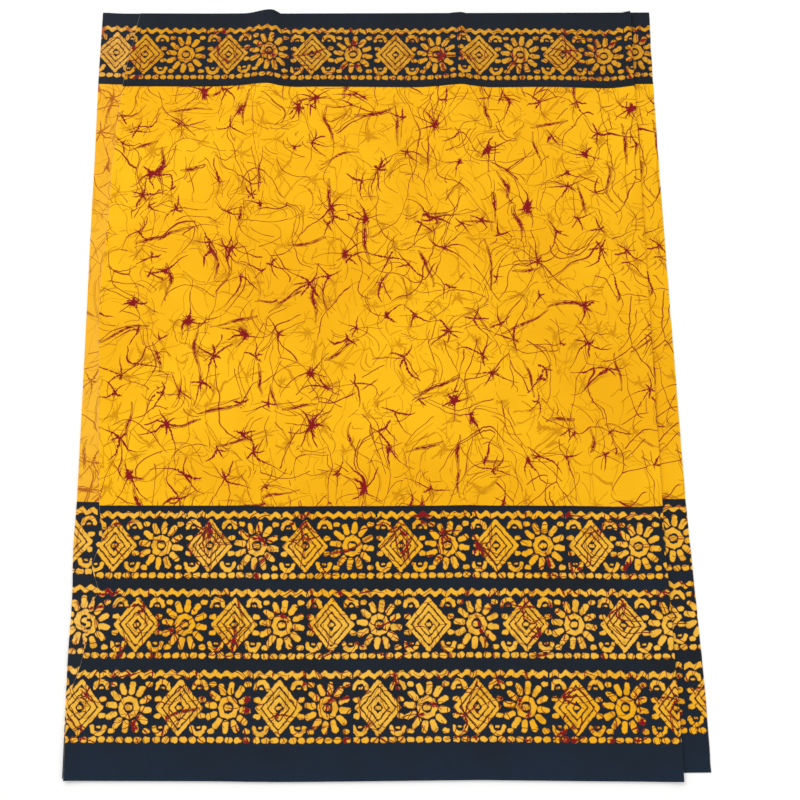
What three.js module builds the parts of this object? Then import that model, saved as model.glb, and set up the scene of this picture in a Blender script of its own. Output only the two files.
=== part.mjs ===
// A length of border-print cotton, folded in three and laid flat on a surface.
//
// The cloth is one piece, 1200 mm from selvage to selvage. It zigzags: the top stretch runs from a
// free cut end on the left to a rounded fold on the right, the middle stretch comes back under it,
// wrong side up, to a second fold on the left, and the bottom stretch goes right again and ends in the
// second cut end. X runs along the cloth's length, Y from selvage to selvage, Z up. The origin lies on
// the surface, under the middle of the folded cloth. All sizes are in millimetres.

import * as THREE from 'three';

// Thickness of the cloth wall, and the clearance between layers and between stretches at a join.
const WALL = 1.5;
const CLEARANCE = 0.3;
const LAYER_STEP = WALL + CLEARANCE;

// Each fold stands this much higher than the flat stack beside it, and settles over this distance.
const FOLD_LOFT = 2.4;
const FOLD_SETTLE = 34;
const FOLD_STEPS = 6;

// A stretch that ends in a fold carries on under it for this far, then the next stretch takes over.
const FOLD_RETURN = 14;

// Selvage to selvage: the rows at which the cloth is worked out, before each layer's own slip.
const HALF_WIDTH = 600;
const ROW_STATIONS = [
  -600, -540, -490, -440, -405, -376, -344, -320, -297, -272, -220, -140, -65, 15, 95, 190, 270,
  350, 430, 480, 530, 570, 600,
];

// Where the long edges of the stack lie at each height: the fold on the left, the free cut end of
// the top stretch, the fold on the right and the cut end of the bottom stretch.
const SIDE_EDGES = [
  { y: -600, leftFold: -421.0, freeEnd: -418.5, rightFold: 417.6, lastEnd: 455.6 },
  { y: -500, leftFold: -424.5, freeEnd: -420.5, rightFold: 417.4, lastEnd: 455.4 },
  { y: -440, leftFold: -426.5, freeEnd: -406.0, rightFold: 416.2, lastEnd: 454.2 },
  { y: -376, leftFold: -427.0, freeEnd: -403.0, rightFold: 415.4, lastEnd: 452.0 },
  { y: -344, leftFold: -428.0, freeEnd: -392.0, rightFold: 415.0, lastEnd: 451.2 },
  { y: -310, leftFold: -430.5, freeEnd: -402.5, rightFold: 413.8, lastEnd: 450.1 },
  { y: -272, leftFold: -431.8, freeEnd: -392.0, rightFold: 412.6, lastEnd: 449.0 },
  { y: -220, leftFold: -432.0, freeEnd: -399.0, rightFold: 413.4, lastEnd: 447.8 },
  { y: -65, leftFold: -436.5, freeEnd: -411.5, rightFold: 413.5, lastEnd: 446.6 },
  { y: 95, leftFold: -441.5, freeEnd: -422.5, rightFold: 413.6, lastEnd: 445.4 },
  { y: 240, leftFold: -446.2, freeEnd: -419.5, rightFold: 413.7, lastEnd: 444.6 },
  { y: 330, leftFold: -448.5, freeEnd: -419.5, rightFold: 413.7, lastEnd: 444.3 },
  { y: 470, leftFold: -453.2, freeEnd: -412.5, rightFold: 413.7, lastEnd: 444.4 },
  { y: 600, leftFold: -455.6, freeEnd: -394.0, rightFold: 413.8, lastEnd: 446.4 },
];

// The selvages of the top stretch, which bow and jog a little along their length.
const TOP_STRETCH_SELVAGES = [
  { x: -425, top: 598.5, bottom: -600.5 },
  { x: -225, top: 598.5, bottom: -601.0 },
  { x: -178, top: 600.5, bottom: -601.6 },
  { x: -158, top: 596.5, bottom: -601.8 },
  { x: -110, top: 598.0, bottom: -602.0 },
  { x: 90, top: 596.5, bottom: -600.0 },
  { x: 136, top: 598.5, bottom: -599.6 },
  { x: 150, top: 596.5, bottom: -599.6 },
  { x: 290, top: 597.5, bottom: -601.0 },
  { x: 365, top: 594.5, bottom: -601.6 },
  { x: 400, top: 597.0, bottom: -602.0 },
  { x: 420, top: 600.0, bottom: -602.0 },
];

// The two stretches underneath slipped upwards a little, the bottom one most at its cut end.
const UNDER_SELVAGES = [
  { x: -460, middleTop: 599.0, middleBottom: -598.0, bottomTop: 599.0, bottomBottom: -598.0 },
  { x: 460, middleTop: 596.0, middleBottom: -597.0, bottomTop: 602.0, bottomBottom: -590.0 },
];

// Soft ridges where the cloth does not lie down. Each has its crest at x, from the top selvage down
// to where it dies out. It is lifted by edgeLift at the selvage and by bandLift below the border,
// and it falls off over leftRun and rightRun there, and over the wider runs further down. The share
// is how much of the lift the middle stretch takes as well.
const BORDER_LOWER_EDGE = 462;
const RIDGES = [
  {
    x: -175, edgeLift: 8.2, bandLift: 7.4, diesOut: 180, leftRun: 46, rightRun: 18,
    wideLeftRun: 92, wideRightRun: 52, share: 0.5,
  },
  {
    x: 136, edgeLift: 3.6, bandLift: 6.6, diesOut: 210, leftRun: 44, rightRun: 16,
    wideLeftRun: 84, wideRightRun: 48, share: 0.5,
  },
  {
    x: 414, edgeLift: 3.8, bandLift: 0.6, diesOut: 380, leftRun: 40, rightRun: 40,
    wideLeftRun: 60, wideRightRun: 60, share: 1,
  },
];

// Columns at which the top and middle stretches are worked out, closer over the ridges, and the
// further ones close behind a fold or a free end.
const COLUMN_STATIONS = [
  -350, -310, -268, -240, -220, -203, -188, -176, -166, -157, -142, -122, -80, -20, 40, 70, 92,
  108, 122, 134, 143, 152, 166, 184, 240, 310, 358, 380,
];
const NEAR_END_STEPS = [8, 17, 26, 35];
const NEAR_FOLD_STEPS = [7, 15, 24];

/** Eases from 0 at a to 1 at b. */
function ease(a, b, value) {
  return THREE.MathUtils.smoothstep(value, a, b);
}

/** Reads one named column of a table at a place along its key, on a smooth curve through its rows. */
function readTable(table, key, column, place) {
  const last = table.length - 1;
  if (place <= table[0][key]) return table[0][column];
  if (place >= table[last][key]) return table[last][column];
  const next = table.findIndex((row) => row[key] > place);
  const slopeAt = (index) => {
    const before = table[Math.max(index - 1, 0)];
    const after = table[Math.min(index + 1, last)];
    return (after[column] - before[column]) / (after[key] - before[key]);
  };
  const start = table[next - 1];
  const end = table[next];
  const span = end[key] - start[key];
  const t = (place - start[key]) / span;
  const leaving = slopeAt(next - 1) * span;
  const arriving = slopeAt(next) * span;
  const straight = THREE.MathUtils.lerp(start[column], end[column], ease(0, 1, t));
  return straight + leaving * t * (1 - t) ** 2 - arriving * t * t * (1 - t);
}

/** How high one ridge stands at a point. */
function ridgeHeight(ridge, x, y) {
  const towardEdge = THREE.MathUtils.clamp(
    (y - BORDER_LOWER_EDGE) / (HALF_WIDTH - BORDER_LOWER_EDGE), 0, 1);
  const crest = y >= BORDER_LOWER_EDGE
    ? THREE.MathUtils.lerp(ridge.bandLift, ridge.edgeLift, towardEdge)
    : ridge.bandLift * ease(ridge.diesOut, BORDER_LOWER_EDGE, y);
  const run = x < ridge.x
    ? THREE.MathUtils.lerp(ridge.wideLeftRun, ridge.leftRun, towardEdge)
    : THREE.MathUtils.lerp(ridge.wideRightRun, ridge.rightRun, towardEdge);
  const distance = Math.min(Math.abs(x - ridge.x) / run, 1);
  return crest * 0.5 * (1 + Math.cos(Math.PI * distance));
}

/** Height of the middle stretch's middle surface over the bottom one's. */
function middleHeight(x, y) {
  const fold = readTable(SIDE_EDGES, 'y', 'leftFold', y);
  const loft = FOLD_LOFT * (1 - ease(fold, fold + FOLD_SETTLE, x));
  const lifts = RIDGES.map((ridge) => ridge.share * ridgeHeight(ridge, x, y));
  return WALL / 2 + LAYER_STEP + loft + lifts.reduce((sum, lift) => sum + lift, 0);
}

/** Height of the top stretch's middle surface, which lies on the middle one. */
function topHeight(x, y) {
  const fold = readTable(SIDE_EDGES, 'y', 'rightFold', y);
  const loft = FOLD_LOFT * ease(fold - FOLD_SETTLE, fold, x);
  const lifts = RIDGES.map((ridge) => (1 - ridge.share) * ridgeHeight(ridge, x, y));
  return middleHeight(x, y) + LAYER_STEP + loft + lifts.reduce((sum, lift) => sum + lift, 0);
}

/** Places along X: the start and the steps just past it, the stations, and the end. */
function placesBetween(start, end, endSteps) {
  const past = NEAR_END_STEPS.map((step) => start + step);
  const before = endSteps.map((step) => end - step).reverse();
  return [start, ...past, ...COLUMN_STATIONS, ...before, end];
}

/** A half turn of cloth between two levels, seen along Y, from the level it leaves to the other. */
function halfTurn(outermost, fromZ, toZ) {
  const radius = Math.abs(fromZ - toZ) / 2;
  const side = Math.sign(outermost);
  const centreX = outermost - side * (radius + WALL / 2);
  const centreZ = (fromZ + toZ) / 2;
  const steps = Array.from({ length: FOLD_STEPS - 1 }, (_, i) => (i + 1) / FOLD_STEPS);
  return steps.map((step) => {
    const angle = Math.PI * step;
    const nx = side * Math.sin(angle);
    const nz = Math.sign(fromZ - toZ) * Math.cos(angle);
    return { x: centreX + radius * nx, z: centreZ + radius * nz, nx, nz };
  });
}

/** The section of the top stretch at one row: flat from its cut end, then down round the fold. */
function topSection(y) {
  const freeEnd = readTable(SIDE_EDGES, 'y', 'freeEnd', y);
  const fold = readTable(SIDE_EDGES, 'y', 'rightFold', y);
  const upperZ = topHeight(fold, y);
  const lowerZ = middleHeight(fold, y);
  const turnStart = fold - (upperZ - lowerZ) / 2 - WALL / 2;
  const flat = placesBetween(freeEnd, turnStart, NEAR_FOLD_STEPS)
    .map((x) => ({ x, z: topHeight(x, y), nx: 0, nz: 1 }));
  flat[flat.length - 1].z = upperZ;
  const turn = halfTurn(fold, upperZ, lowerZ);
  const under = [turnStart, turnStart - FOLD_RETURN]
    .map((x) => ({ x, z: lowerZ, nx: 0, nz: -1 }));
  return [...flat, ...turn, ...under];
}

/** The section of the middle stretch: up round the left fold, then flat to the join at the right. */
function middleSection(y) {
  const fold = readTable(SIDE_EDGES, 'y', 'leftFold', y);
  const rightFold = readTable(SIDE_EDGES, 'y', 'rightFold', y);
  const upperZ = middleHeight(fold, y);
  const lowerZ = WALL / 2;
  const turnStart = fold + (upperZ - lowerZ) / 2 + WALL / 2;
  const rightTurn = (topHeight(rightFold, y) - middleHeight(rightFold, y)) / 2 + WALL / 2;
  const join = rightFold - rightTurn - FOLD_RETURN - CLEARANCE;
  const under = [turnStart + FOLD_RETURN, turnStart]
    .map((x) => ({ x, z: lowerZ, nx: 0, nz: -1 }));
  const turn = halfTurn(fold, lowerZ, upperZ);
  const flat = placesBetween(turnStart, join, [])
    .map((x) => ({ x, z: middleHeight(x, y), nx: 0, nz: 1 }));
  flat[0].z = upperZ;
  return [...under, ...turn, ...flat];
}

/** The section of the bottom stretch: flat on the surface, from the join at the left. */
function bottomSection(y) {
  const fold = readTable(SIDE_EDGES, 'y', 'leftFold', y);
  const lastEnd = readTable(SIDE_EDGES, 'y', 'lastEnd', y);
  const turn = (middleHeight(fold, y) - WALL / 2) / 2 + WALL / 2;
  const join = fold + turn + FOLD_RETURN + CLEARANCE;
  const places = [join, (join + lastEnd) / 2, lastEnd];
  return places.map((x) => ({ x, z: WALL / 2, nx: 0, nz: 1 }));
}

/** Where a row crosses a column, given the selvages of that stretch at x. */
function slippedRow(row, top, bottom) {
  return THREE.MathUtils.mapLinear(row, -HALF_WIDTH, HALF_WIDTH, bottom, top);
}

/** A closed cloth wall through sections, one for each row, half its thickness to either side. */
function clothWall(sectionAt, selvagesAt) {
  const sections = ROW_STATIONS.map((row) => sectionAt(row));
  const columns = sections[0].length;
  const rows = sections.length;
  const positions = [];
  for (const side of [1, -1]) {
    sections.forEach((section, j) => {
      for (const point of section) {
        const { top, bottom } = selvagesAt(point.x);
        const half = side * WALL / 2;
        positions.push(
          point.x + half * point.nx,
          slippedRow(ROW_STATIONS[j], top, bottom),
          point.z + half * point.nz,
        );
      }
    });
  }
  const outer = (i, j) => j * columns + i;
  const inner = (i, j) => rows * columns + j * columns + i;
  const indices = [];
  const quad = (a, b, c, d) => indices.push(a, b, c, a, c, d);
  for (let j = 0; j < rows - 1; j += 1) {
    for (let i = 0; i < columns - 1; i += 1) {
      quad(outer(i, j), outer(i + 1, j), outer(i + 1, j + 1), outer(i, j + 1));
      quad(inner(i, j), inner(i, j + 1), inner(i + 1, j + 1), inner(i + 1, j));
    }
    quad(outer(0, j), outer(0, j + 1), inner(0, j + 1), inner(0, j));
    const end = columns - 1;
    quad(outer(end, j), inner(end, j), inner(end, j + 1), outer(end, j + 1));
  }
  for (let i = 0; i < columns - 1; i += 1) {
    const far = rows - 1;
    quad(outer(i, 0), inner(i, 0), inner(i + 1, 0), outer(i + 1, 0));
    quad(outer(i, far), outer(i + 1, far), inner(i + 1, far), inner(i, far));
  }
  const geometry = new THREE.BufferGeometry();
  geometry.setAttribute('position', new THREE.Float32BufferAttribute(positions, 3));
  geometry.setIndex(indices);
  geometry.computeVertexNormals();
  return geometry;
}

/** One named stretch of the cloth. */
function stretch(name, sectionAt, selvagesAt, finish) {
  const mesh = new THREE.Mesh(clothWall(sectionAt, selvagesAt), new THREE.MeshStandardMaterial(finish));
  mesh.name = name;
  return mesh;
}

const printedSide = { color: 0xfcb817, roughness: 0.82, metalness: 0 };
const wrongSide = { color: 0xf3c25a, roughness: 0.88, metalness: 0 };
const printedUnder = { color: 0xf2ae14, roughness: 0.82, metalness: 0 };

const topSelvages = (x) => ({
  top: readTable(TOP_STRETCH_SELVAGES, 'x', 'top', x),
  bottom: readTable(TOP_STRETCH_SELVAGES, 'x', 'bottom', x),
});
const middleSelvages = (x) => ({
  top: readTable(UNDER_SELVAGES, 'x', 'middleTop', x),
  bottom: readTable(UNDER_SELVAGES, 'x', 'middleBottom', x),
});
const bottomSelvages = (x) => ({
  top: readTable(UNDER_SELVAGES, 'x', 'bottomTop', x),
  bottom: readTable(UNDER_SELVAGES, 'x', 'bottomBottom', x),
});

const foldedCloth = new THREE.Group();
foldedCloth.name = 'folded_cloth';
foldedCloth.add(stretch('stretch_top', topSection, topSelvages, printedSide));
foldedCloth.add(stretch('stretch_middle', middleSection, middleSelvages, wrongSide));
foldedCloth.add(stretch('stretch_bottom', bottomSection, bottomSelvages, printedUnder));

export default foldedCloth;
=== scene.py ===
"""A length of border print cotton, folded over itself and laid flat on a pale surface.

The cloth zigzags. The top stretch runs from a free cut end on the left to a rounded fold on the right,
the middle stretch comes back under it with its wrong side up to a fold on the left, and the bottom
stretch goes right again to the second cut end. Each stretch is a thin shell. Its map named "print"
says how far along and across the cloth each point is, in metres, so the dyed pattern follows the folds.

Lengths in the tables are millimetres; meshes are in metres.
"""

import logging
import math
from dataclasses import dataclass
from enum import Enum
from typing import Any, Callable, Sequence, Union

import bpy
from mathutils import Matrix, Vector, noise


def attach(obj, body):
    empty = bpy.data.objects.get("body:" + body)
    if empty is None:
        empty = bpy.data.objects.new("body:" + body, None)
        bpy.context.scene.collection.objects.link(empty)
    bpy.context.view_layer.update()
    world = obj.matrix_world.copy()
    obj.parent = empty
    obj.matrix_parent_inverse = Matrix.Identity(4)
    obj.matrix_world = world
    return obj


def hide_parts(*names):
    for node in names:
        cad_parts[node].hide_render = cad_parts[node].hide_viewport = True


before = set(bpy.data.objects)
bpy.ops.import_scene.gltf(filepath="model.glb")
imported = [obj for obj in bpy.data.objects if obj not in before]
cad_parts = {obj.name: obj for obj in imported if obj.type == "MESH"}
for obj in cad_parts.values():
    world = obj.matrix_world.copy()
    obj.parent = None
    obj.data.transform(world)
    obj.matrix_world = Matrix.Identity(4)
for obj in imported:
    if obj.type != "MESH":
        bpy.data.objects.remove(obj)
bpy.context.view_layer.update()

LOG = logging.getLogger("folded_cloth")

MM = 0.001
PRINT_MAP = "print"
CUT_DISTANCE = "cut_distance"
FAR_FROM_CUT = 500.0
HALF_WIDTH = 600.0


# ---------------------------------------------------------------------------------------------
# Sizes of the folded stack
# ---------------------------------------------------------------------------------------------


@dataclass(frozen=True)
class SideRow:
    """Where the long edges of the stack lie at one height y, in millimetres."""

    y: float
    left_fold: float
    free_end: float
    right_fold: float
    last_end: float


@dataclass(frozen=True)
class SelvageRow:
    """Where a stretch's two selvages lie at one place x, in millimetres."""

    x: float
    top: float
    bottom: float


@dataclass(frozen=True)
class Ridge:
    """A soft ridge that runs down from the top selvage, by its crest, lifts, runs and share of lift below."""

    x: float
    edge_lift: float
    band_lift: float
    dies_out: float
    left_run: float
    right_run: float
    wide_left_run: float
    wide_right_run: float
    share: float


@dataclass(frozen=True)
class Crease:
    """A soft pressed line, by its middle, its direction from +X in degrees, its length, width and lift."""

    x: float
    y: float
    degrees: float
    length: float
    width: float
    lift: float


SIDE_ROWS = (
    SideRow(-600, -421.0, -418.5, 417.6, 455.6),
    SideRow(-500, -424.5, -420.5, 417.4, 455.4),
    SideRow(-440, -426.5, -406.0, 416.2, 454.2),
    SideRow(-376, -427.0, -403.0, 415.4, 452.0),
    SideRow(-344, -428.0, -392.0, 415.0, 451.2),
    SideRow(-310, -430.5, -402.5, 413.8, 450.1),
    SideRow(-272, -431.8, -392.0, 412.6, 449.0),
    SideRow(-220, -432.0, -399.0, 413.4, 447.8),
    SideRow(-65, -436.5, -411.5, 413.5, 446.6),
    SideRow(95, -441.5, -422.5, 413.6, 445.4),
    SideRow(240, -446.2, -419.5, 413.7, 444.6),
    SideRow(330, -448.5, -419.5, 413.7, 444.3),
    SideRow(470, -453.2, -412.5, 413.7, 444.4),
    SideRow(600, -455.6, -394.0, 413.8, 446.4),
)

TOP_SELVAGES = (
    SelvageRow(-425, 598.5, -600.5),
    SelvageRow(-225, 598.5, -601.0),
    SelvageRow(-178, 600.5, -601.6),
    SelvageRow(-158, 596.5, -601.8),
    SelvageRow(-110, 598.0, -602.0),
    SelvageRow(90, 596.5, -600.0),
    SelvageRow(136, 598.5, -599.6),
    SelvageRow(150, 596.5, -599.6),
    SelvageRow(290, 597.5, -601.0),
    SelvageRow(365, 594.5, -601.6),
    SelvageRow(400, 597.0, -602.0),
    SelvageRow(420, 600.0, -602.0),
)
MIDDLE_SELVAGES = (SelvageRow(-460, 599.0, -598.0), SelvageRow(460, 596.0, -597.0))
BOTTOM_SELVAGES = (SelvageRow(-460, 599.0, -598.0), SelvageRow(460, 602.0, -590.0))

BORDER_LOWER_EDGE = 462.0
RIDGES = (
    Ridge(-175, 8.2, 7.4, 180, 46, 18, 92, 52, 0.5),
    Ridge(136, 3.6, 6.6, 210, 44, 16, 84, 48, 0.5),
    Ridge(414, 3.8, 0.6, 380, 40, 40, 60, 60, 1.0),
)

CREASES = (
    Crease(-42, -470, 92, 250, 13, 0.7),
    Crease(190, -500, 88, 190, 12, 0.6),
    Crease(-300, -180, 74, 300, 26, 0.8),
    Crease(-120, 40, 101, 360, 30, 0.8),
    Crease(70, -60, 83, 420, 34, 0.7),
    Crease(250, 150, 96, 340, 28, 0.8),
    Crease(345, -250, 86, 260, 22, 0.7),
    Crease(-250, 330, 118, 200, 24, 0.8),
    Crease(20, 330, 12, 260, 30, 0.6),
    Crease(-60, -290, 4, 380, 26, 0.5),
    Crease(330, 420, 64, 170, 22, 0.7),
    Crease(-360, -420, 97, 240, 20, 0.6),
)


def ease(start: float, end: float, value: float) -> float:
    """Rises smoothly from 0 at start to 1 at end.

    Args:
        start: Where it is 0.
        end: Where it is 1.
        value: The place to read.

    Returns:
        A number from 0 to 1.
    """
    t = min(max((value - start) / (end - start), 0.0), 1.0)
    return t * t * (3 - 2 * t)


def read_rows(rows: Sequence[Any], key: str, column: str, place: float) -> float:
    """Reads one column of a table on a smooth curve through its rows.

    Args:
        rows: The table's rows, in rising order of key.
        key: The column that place belongs to.
        column: The column to read.
        place: Where to read.

    Returns:
        The column's value at that place, held at the first and last rows.
    """
    keys = [getattr(row, key) for row in rows]
    values = [getattr(row, column) for row in rows]
    last = len(rows) - 1
    if place <= keys[0]:
        return values[0]
    if place >= keys[last]:
        return values[last]
    after = next(index for index, value in enumerate(keys) if value > place)

    def slope(index: int) -> float:
        """The curve's slope at one row."""
        low, high = max(index - 1, 0), min(index + 1, last)
        return (values[high] - values[low]) / (keys[high] - keys[low])

    span = keys[after] - keys[after - 1]
    t = (place - keys[after - 1]) / span
    straight = values[after - 1] + (values[after] - values[after - 1]) * ease(0, 1, t)
    leaving = slope(after - 1) * span * t * (1 - t) ** 2
    arriving = slope(after) * span * t * t * (1 - t)
    return straight + leaving - arriving


@dataclass(frozen=True)
class FoldedStack:
    """The heights of the folded cloth's layers and the run of its folds, in millimetres."""

    thickness: float = 0.9
    layer_step: float = 1.2
    lowest_middle: float = 0.5
    fold_loft: float = 2.4
    fold_settle: float = 34.0
    fold_return: float = 14.0
    join_gap: float = 0.3
    undulation: float = 0.9
    undulation_size: float = 150.0
    edge_flat: float = 30.0

    def side(self, column: str, y: float) -> float:
        """Where one of the stack's long edges is at height y."""
        return read_rows(SIDE_ROWS, "y", column, y)

    def ridge_height(self, ridge: Ridge, x: float, y: float) -> float:
        """How high one ridge stands at a point.

        Args:
            ridge: The ridge.
            x: The point's place along the stack.
            y: The point's place across it.

        Returns:
            The height in millimetres.
        """
        toward_edge = min(max((y - BORDER_LOWER_EDGE) / (HALF_WIDTH - BORDER_LOWER_EDGE), 0.0), 1.0)
        crest = ridge.band_lift + (ridge.edge_lift - ridge.band_lift) * toward_edge
        if y < BORDER_LOWER_EDGE:
            crest = ridge.band_lift * ease(ridge.dies_out, BORDER_LOWER_EDGE, y)
        wide, narrow = ridge.wide_right_run, ridge.right_run
        if x < ridge.x:
            wide, narrow = ridge.wide_left_run, ridge.left_run
        run = wide + (narrow - wide) * toward_edge
        distance = min(abs(x - ridge.x) / run, 1.0)
        return crest * 0.5 * (1 + math.cos(math.pi * distance))

    def crease_height(self, crease: Crease, x: float, y: float) -> float:
        """How high one soft crease stands at a point.

        Args:
            crease: The crease.
            x: The point's place along the stack.
            y: The point's place across it.

        Returns:
            The height in millimetres.
        """
        turn = math.radians(crease.degrees)
        dx, dy = x - crease.x, y - crease.y
        along = abs(dx * math.cos(turn) + dy * math.sin(turn)) / (crease.length / 2)
        bow = 6.0 * math.cos(along * math.pi / 2)
        across = abs(dy * math.cos(turn) - dx * math.sin(turn) + bow) / crease.width
        if along >= 1 or across >= 1:
            return 0.0
        return crease.lift * (1 - ease(0.35, 1, along)) * (1 - ease(0, 1, across))

    def relief(self, x: float, y: float) -> float:
        """The small unevenness that the middle and top stretches share, never below their level.

        Args:
            x: The point's place along the stack.
            y: The point's place across it.

        Returns:
            Its height in millimetres.
        """
        size = self.undulation_size
        broad = noise.noise(Vector((x / size, y / size, 3.7)))
        fine = noise.noise(Vector((x / (0.37 * size), y / (0.5 * size), 9.1)))
        swell = self.undulation * max(0.5 + broad + 0.35 * fine, 0.0)
        return swell + sum(self.crease_height(crease, x, y) for crease in CREASES)

    def calm(self, x: float, y: float) -> float:
        """How much of the relief is left at a point: none of it at the stack's outer edges.

        Args:
            x: The point's place along the stack.
            y: The point's place across it.

        Returns:
            A share from 0 to 1.
        """
        left = x - self.side("left_fold", y)
        right = self.side("right_fold", y) - x
        selvage = HALF_WIDTH - abs(y)
        return ease(0, self.edge_flat, min(left, right)) * (0.35 + 0.65 * ease(0, 40, selvage))

    def middle_height(self, x: float, y: float) -> float:
        """Height of the middle stretch's middle surface.

        Args:
            x: The point's place along the stack.
            y: The point's place across it.

        Returns:
            The height in millimetres.
        """
        fold = self.side("left_fold", y)
        loft = self.fold_loft * (1 - ease(fold, fold + self.fold_settle, x))
        lifts = sum(ridge.share * self.ridge_height(ridge, x, y) for ridge in RIDGES)
        relief = self.calm(x, y) * self.relief(x, y)
        return self.lowest_middle + self.layer_step + loft + lifts + relief

    def top_height(self, x: float, y: float) -> float:
        """Height of the top stretch's middle surface, which lies on the middle one.

        Args:
            x: The point's place along the stack.
            y: The point's place across it.

        Returns:
            The height in millimetres.
        """
        fold = self.side("right_fold", y)
        loft = self.fold_loft * ease(fold - self.fold_settle, fold, x)
        lifts = sum((1 - ridge.share) * self.ridge_height(ridge, x, y) for ridge in RIDGES)
        return self.middle_height(x, y) + self.layer_step + loft + lifts


# ---------------------------------------------------------------------------------------------
# The stretches
# ---------------------------------------------------------------------------------------------


@dataclass(frozen=True)
class SectionPoint:
    """A point of a stretch's middle surface in one row: its place, and where it is along the print."""

    x: float
    z: float
    along: float
    from_cut: float = FAR_FROM_CUT


class ClothSide(Enum):
    """Which side of the cloth faces outward."""

    RIGHT = "right"
    WRONG = "wrong"

    @property
    def reverse(self) -> "ClothSide":
        """The side at the back of this one."""
        return ClothSide.WRONG if self is ClothSide.RIGHT else ClothSide.RIGHT


@dataclass
class Stretch:
    """One stretch of the folded cloth, with its own sizes, mesh and finish."""

    stack: FoldedStack
    name: str
    node: str
    slot: str
    outward: ClothSide
    selvages: tuple[SelvageRow, ...]
    columns: int
    row_step: float
    print_shift: float = 0.0
    print_start: float = 0.0

    def section(self, row: float) -> list[SectionPoint]:
        """The stretch's middle surface at one row, from end to end.

        Args:
            row: The row's place across the cloth, from the bottom selvage at -600 to the top one.

        Returns:
            The points in order. Each kind of stretch has its own.
        """
        raise NotImplementedError

    def half_turn(
        self, outermost: float, from_z: float, to_z: float, start_along: float, steps: int = 12
    ) -> list[SectionPoint]:
        """A half turn of cloth between two levels, without its two ends.

        Args:
            outermost: Where the fold's outer surface reaches.
            from_z: The level that it leaves.
            to_z: The level that it comes to.
            start_along: Where the print is at the level that it leaves.
            steps: How many steps make the turn. The print runs on, or back where steps are negative.

        Returns:
            The points between the two levels.
        """
        radius = abs(from_z - to_z) / 2
        side = math.copysign(1, outermost)
        centre_x = outermost - side * (radius + self.stack.thickness / 2)
        points = []
        for step in range(1, abs(steps)):
            angle = math.pi * step / abs(steps)
            x = centre_x + side * radius * math.sin(angle)
            z = (from_z + to_z) / 2 + (from_z - to_z) / 2 * math.cos(angle)
            points.append(SectionPoint(x, z, start_along + math.copysign(radius * angle, steps)))
        return points

    def selvage_y(self, row: float, x: float) -> float:
        """Where a row crosses the place x, given the stretch's own slip.

        Args:
            row: The row's place across the cloth.
            x: The place along the stack.

        Returns:
            The place across the stack.
        """
        top = read_rows(self.selvages, "x", "top", x)
        bottom = read_rows(self.selvages, "x", "bottom", x)
        return bottom + (row + HALF_WIDTH) / (2 * HALF_WIDTH) * (top - bottom)

    def row_lines(self) -> list[float]:
        """The rows of the mesh, with one on each line where the border's finish takes over.

        Returns:
            The rows, from the bottom selvage to the top one.
        """
        changes = (PrintLayout.upper_change, PrintLayout.lower_change)
        lines = {change - self.print_shift for change in changes}
        count = round(2 * HALF_WIDTH / self.row_step)
        for index in range(count + 1):
            row = -HALF_WIDTH + 2 * HALF_WIDTH * index / count
            if min(abs(row + self.print_shift - change) for change in changes) > 2:
                lines.add(row)
        return sorted(lines)

    def flat_length(self) -> float:
        """The stretch's length of cloth at its middle row, in metres.

        Returns:
            The length.
        """
        points = self.section(0.0)
        pairs = zip(points, points[1:])
        return MM * sum(math.hypot(b.x - a.x, b.z - a.z) for a, b in pairs)

    def build(self, finishes: "FinishSet") -> bpy.types.Object:
        """Makes the stretch's shell, with its print map and its cut-end distances.

        Args:
            finishes: The cotton's finishes.

        Returns:
            The finished object, at the origin.
        """
        rows = self.row_lines()
        sections = [self.section(row) for row in rows]
        width = len(sections[0])
        places, prints, cuts = [], [], []
        for row, section in zip(rows, sections):
            for point in section:
                y = self.selvage_y(row, point.x)
                places.append((point.x * MM, y * MM, point.z * MM))
                prints.append((point.along * MM, (row + self.print_shift) * MM))
                cuts.append(point.from_cut)
        faces, patches = [], []
        for j in range(len(rows) - 1):
            for i in range(width - 1):
                a = j * width + i
                faces.append((a, a + 1, a + 1 + width, a + width))
                near, far = prints[a], prints[a + 1 + width]
                along, across = ((near[axis] + far[axis]) / (2 * MM) for axis in (0, 1))
                patches.append(PrintLayout.patch_number(along, across))
        mesh = bpy.data.meshes.new(self.name)
        mesh.from_pydata(places, [], faces)
        mesh.polygons.foreach_set("material_index", patches)
        print_map = mesh.uv_layers.new(name=PRINT_MAP)
        for loop in mesh.loops:
            print_map.data[loop.index].uv = prints[loop.vertex_index]
        distance = mesh.attributes.new(CUT_DISTANCE, "FLOAT", "POINT")
        distance.data.foreach_set("value", cuts)
        piece = bpy.data.objects.new(self.name, mesh)
        bpy.context.scene.collection.objects.link(piece)
        self.thicken(piece, finishes)
        return piece

    def thicken(self, piece: bpy.types.Object, finishes: "FinishSet") -> None:
        """Gives the sheet its thickness, half to either side, with the cloth's other side behind.

        Args:
            piece: The stretch's sheet.
            finishes: The cotton's finishes.
        """
        for material in finishes.slots(self.outward):
            piece.data.materials.append(material)
        bpy.ops.object.select_all(action="DESELECT")
        piece.select_set(True)
        bpy.context.view_layer.objects.active = piece
        shell = piece.modifiers.new("thickness", "SOLIDIFY")
        shell.thickness = self.stack.thickness * MM
        shell.offset = 0.0
        shell.material_offset = len(PrintLayout.patches())
        bpy.ops.object.modifier_apply(modifier=shell.name)
        bpy.ops.object.shade_smooth_by_angle(angle=math.radians(50))

    def declare(self, piece: bpy.types.Object, rests_on: Sequence[bpy.types.Object]) -> None:
        """Puts the stretch in the root body and hides the node it stands for.

        Args:
            piece: The stretch's shell.
            rests_on: What it lies on; not used.
        """
        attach(piece, "root")
        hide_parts(self.node)
        flat = (2 * HALF_WIDTH * MM, self.flat_length())


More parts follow.
